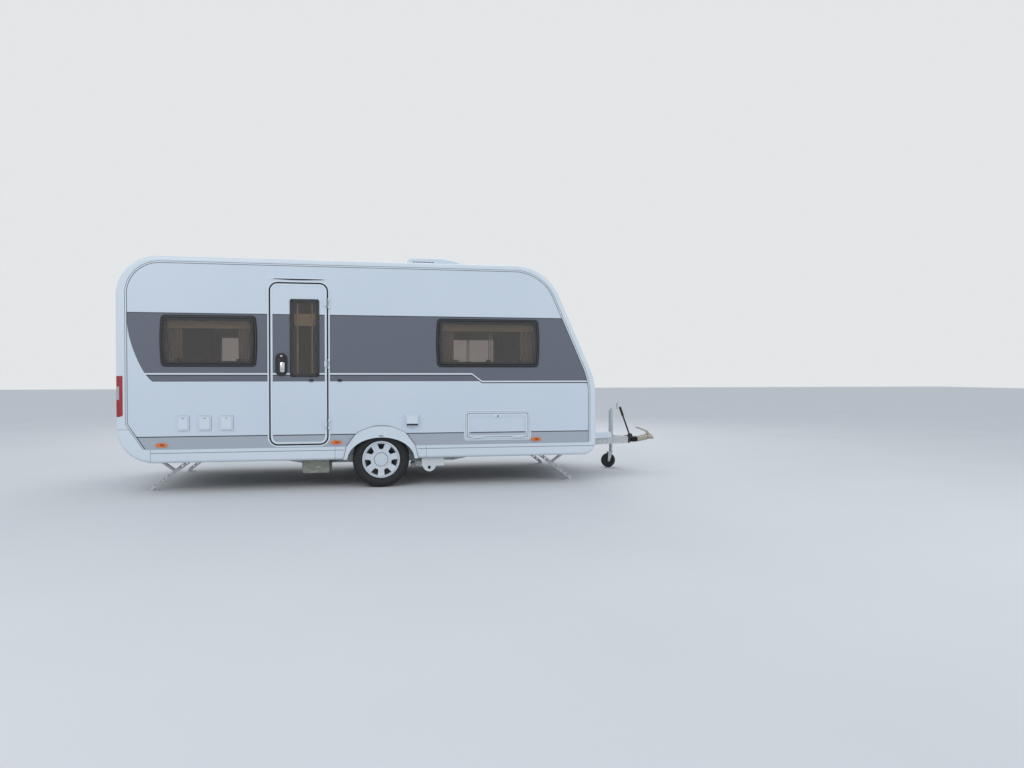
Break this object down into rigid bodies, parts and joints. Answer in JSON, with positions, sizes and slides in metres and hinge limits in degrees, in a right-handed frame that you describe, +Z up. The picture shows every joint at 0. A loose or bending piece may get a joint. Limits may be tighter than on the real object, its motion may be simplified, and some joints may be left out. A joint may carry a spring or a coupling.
{
  "type": "travel caravan",
  "caption": "Single-axle touring caravan with rounded body, entrance door, drawbar, jockey wheel and folding corner steadies.",
  "frame": {"origin": "on the ground under the middle of the whole length and width", "axes": "+X towards the drawbar, +Y to the left side, +Z up"},
  "size_m": [6.67, 2.364, 2.813],
  "materials": {
    "body_white": "painted smooth sheet",
    "trim_white": "moulded white trim",
    "window_tint": "tinted acrylic",
    "black_plastic": "black moulded plastic",
    "lamp_red": "red lens",
    "lamp_orange": "orange lens",
    "galvanised": "hot-dip galvanised steel",
    "cast_black": "painted casting",
    "grey_plastic": "grey moulded plastic",
    "floor_board": "coated floor board",
    "furniture": "laminated board",
    "upholstery": "woven cushion cloth",
    "tyre": "tyre rubber",
    "wheel_white": "painted wheel",
    "rubber": "black rubber"
  },
  "bodies": {
    "root": {"chassis": "galvanised", "axle": "galvanised", "drawbar_head": "cast_black", "coupling": "cast_black", "drawbar_cover": "trim_white", "floor": "floor_board", "wall_right": "body_white", "wall_left": "body_white", "roof": "body_white", "front_wall": "body_white", "rear_wall": "body_white", "rear_bumper": "trim_white", "edge_moulding_right": "trim_white", "edge_moulding_left": "trim_white", "skirt_right": "trim_white", "skirt_left": "trim_white", "wheel_box_right": "grey_plastic", "wheel_box_left": "grey_plastic", "windows_right": "window_tint", "windows_left": "window_tint", "window_front": "window_tint", "window_rear": "window_tint", "opening_frames": "black_plastic", "rear_lamps": "lamp_red", "marker_lamps": "lamp_orange", "grab_handles": "trim_white", "roof_unit": "trim_white", "mains_inlet": "trim_white", "service_covers": "trim_white", "motor_mover": "trim_white", "underfloor_tank": "grey_plastic", "gas_locker": "furniture", "lounge_bench": "furniture", "lounge_cushions": "upholstery", "lounge_table": "furniture", "kitchen_unit": "furniture", "washroom": "furniture", "bed_base": "furniture", "mattress": "upholstery"},
    "wheel_right": {"tyre_right": "tyre", "rim_right": "wheel_white"},
    "wheel_left": {"tyre_left": "tyre", "rim_left": "wheel_white"},
    "door": {"door_leaf": "body_white", "door_window": "window_tint", "door_handle": "black_plastic"},
    "service_hatch": {"service_hatch": "body_white"},
    "gas_lid": {"gas_lid": "trim_white"},
    "roof_hatch": {"roof_hatch": "trim_white"},
    "jockey_stem": {"jockey_stem": "galvanised"},
    "jockey_fork": {"jockey_fork": "galvanised"},
    "jockey_wheel": {"jockey_wheel": "rubber"},
    "strut_front_left": {"steady_strut_front_left": "galvanised"},
    "leg_front_left": {"steady_leg_front_left": "galvanised"},
    "strut_front_right": {"steady_strut_front_right": "galvanised"},
    "leg_front_right": {"steady_leg_front_right": "galvanised"},
    "strut_rear_left": {"steady_strut_rear_left": "galvanised"},
    "leg_rear_left": {"steady_leg_rear_left": "galvanised"},
    "strut_rear_right": {"steady_strut_rear_right": "galvanised"},
    "leg_rear_right": {"steady_leg_rear_right": "galvanised"}
  },
  "joints": [
    {"name": "wheel_right_spin", "type": "hinge", "parent": "root", "child": "wheel_right", "pos_m": [-0.47, -1, 0.327], "axis": [0, 1, 0], "continuous": true},
    {"name": "wheel_left_spin", "type": "hinge", "parent": "root", "child": "wheel_left", "pos_m": [-0.47, 1, 0.327], "axis": [0, 1, 0], "continuous": true},
    {"name": "door_swing", "type": "hinge", "parent": "root", "child": "door", "pos_m": [-1.071, -1.168, 1.44], "axis": [0, 0, 1], "range_deg": [0, 175]},
    {"name": "service_hatch_swing", "type": "hinge", "parent": "root", "child": "service_hatch", "pos_m": [0.9, -1.158, 0.571], "axis": [1, 0, 0], "range_deg": [0, 165]},
    {"name": "gas_lid_lift", "type": "hinge", "parent": "root", "child": "gas_lid", "pos_m": [2.129, 0, 1.035], "axis": [0, -1, 0], "range_deg": [0, 80]},
    {"name": "roof_hatch_lift", "type": "hinge", "parent": "root", "child": "roof_hatch", "pos_m": [-2.098, 0, 2.653], "axis": [0, 1, 0], "range_deg": [0, 50]},
    {"name": "jockey_wind", "type": "slide", "parent": "root", "child": "jockey_stem", "axis": [0, 0, 1], "range_m": [0, 0.16]},
    {"name": "jockey_swivel", "type": "hinge", "parent": "jockey_stem", "child": "jockey_fork", "pos_m": [2.76, 0.222, 0.225], "axis": [0, 0, 1], "continuous": true},
    {"name": "jockey_wheel_spin", "type": "hinge", "parent": "jockey_fork", "child": "jockey_wheel", "pos_m": [2.72, 0.222, 0.1], "axis": [0, 1, 0], "continuous": true},
    {"name": "steady_front_left", "type": "hinge", "parent": "root", "child": "strut_front_left", "pos_m": [1.88968, 0.85, 0.42], "axis": [0, 1, 0], "range_deg": [0, 35]},
    {"name": "steady_leg_front_left", "type": "hinge", "parent": "strut_front_left", "child": "leg_front_left", "pos_m": [1.61974, 0.85, 0.21659], "axis": [0, 1, 0], "range_deg": [-70, 0]},
    {"name": "steady_front_right", "type": "hinge", "parent": "root", "child": "strut_front_right", "pos_m": [1.88968, -0.85, 0.42], "axis": [0, 1, 0], "range_deg": [0, 35]},
    {"name": "steady_leg_front_right", "type": "hinge", "parent": "strut_front_right", "child": "leg_front_right", "pos_m": [1.61974, -0.85, 0.21659], "axis": [0, 1, 0], "range_deg": [-70, 0]},
    {"name": "steady_rear_left", "type": "hinge", "parent": "root", "child": "strut_rear_left", "pos_m": [-3.04568, 0.85, 0.42], "axis": [0, -1, 0], "range_deg": [0, 35]},
    {"name": "steady_leg_rear_left", "type": "hinge", "parent": "strut_rear_left", "child": "leg_rear_left", "pos_m": [-2.77574, 0.85, 0.21659], "axis": [0, -1, 0], "range_deg": [-70, 0]},
    {"name": "steady_rear_right", "type": "hinge", "parent": "root", "child": "strut_rear_right", "pos_m": [-3.04568, -0.85, 0.42], "axis": [0, -1, 0], "range_deg": [0, 35]},
    {"name": "steady_leg_rear_right", "type": "hinge", "parent": "strut_rear_right", "child": "leg_rear_right", "pos_m": [-2.77574, -0.85, 0.21659], "axis": [0, -1, 0], "range_deg": [-70, 0]}
  ],
  "couplings": [
    {"joint": "steady_leg_front_left", "follows": "steady_front_left", "ratio": -2},
    {"joint": "steady_leg_front_right", "follows": "steady_front_right", "ratio": -2},
    {"joint": "steady_leg_rear_left", "follows": "steady_rear_left", "ratio": -2},
    {"joint": "steady_leg_rear_right", "follows": "steady_rear_right", "ratio": -2}
  ]
}
